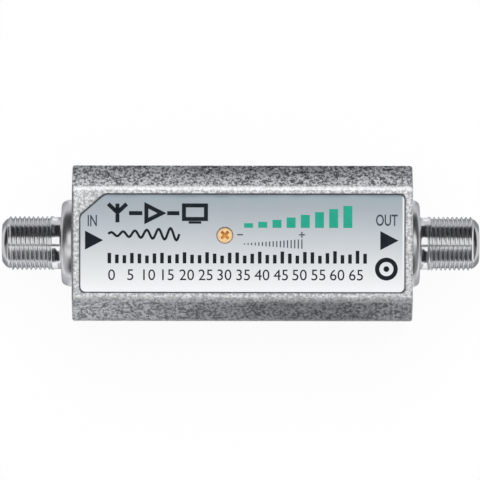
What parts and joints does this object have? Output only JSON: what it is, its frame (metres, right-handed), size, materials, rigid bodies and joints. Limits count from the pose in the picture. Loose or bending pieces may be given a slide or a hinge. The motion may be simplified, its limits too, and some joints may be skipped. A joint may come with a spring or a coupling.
{
  "type": "television signal amplifier",
  "caption": "In-line television signal amplifier: cast metal case with sloped long edges, a threaded coaxial socket at each end and a gain trimmer turned through the label.",
  "frame": {"origin": "middle of the flat back of the case, on the surface that it lies on", "axes": "+X from the input socket to the output socket, +Y across the case towards the label's top edge, +Z out of the label"},
  "size_m": [0.0832, 0.027, 0.02],
  "materials": {
    "cast_nickel": "satin",
    "tinned_sheet": "satin",
    "label_film": "satin",
    "bright_nickel": "polished",
    "cream_plastic": "satin",
    "contact_brass": "satin",
    "plated_steel": "satin",
    "board_green": "satin",
    "black_plastic": "matte",
    "carbon_track": "matte",
    "tinned_wire": "satin",
    "orange_plastic": "satin",
    "chip_ceramic": "satin",
    "copper_wire": "satin",
    "ferrite": "matte",
    "capacitor_can": "satin"
  },
  "bodies": {
    "case": {"housing": "cast_nickel", "back_cover": "tinned_sheet", "label": "label_film", "input_socket": "bright_nickel", "input_front_insulator": "cream_plastic", "input_rear_insulator": "cream_plastic", "input_contact": "contact_brass", "input_washer": "plated_steel", "input_nut": "plated_steel", "output_socket": "bright_nickel", "output_front_insulator": "cream_plastic", "output_rear_insulator": "cream_plastic", "output_contact": "contact_brass", "output_washer": "plated_steel", "output_nut": "plated_steel", "circuit_board": "board_green", "board_screws": "plated_steel", "trimmer_base": "black_plastic", "trimmer_element": "carbon_track", "trimmer_terminals": "tinned_wire", "trimmer_cap": "plated_steel", "transistors": "black_plastic", "transistor_leads": "tinned_wire", "chip_capacitors": "chip_ceramic", "chip_resistors": "black_plastic", "peaking_coils": "copper_wire", "choke_core": "ferrite", "choke_winding": "copper_wire", "transformer_core": "ferrite", "transformer_winding": "copper_wire", "filter_capacitor": "capacitor_can", "capacitor_leads": "tinned_wire"},
    "trimmer": {"trimmer_rotor": "orange_plastic", "trimmer_wiper": "contact_brass"}
  },
  "joints": [
    {"name": "trimmer_turn", "type": "hinge", "parent": "case", "child": "trimmer", "pos_m": [-0.00303, 0.0014, 0.0121], "axis": [0, 0, 1], "range_deg": [-117.5, 117.5]}
  ]
}
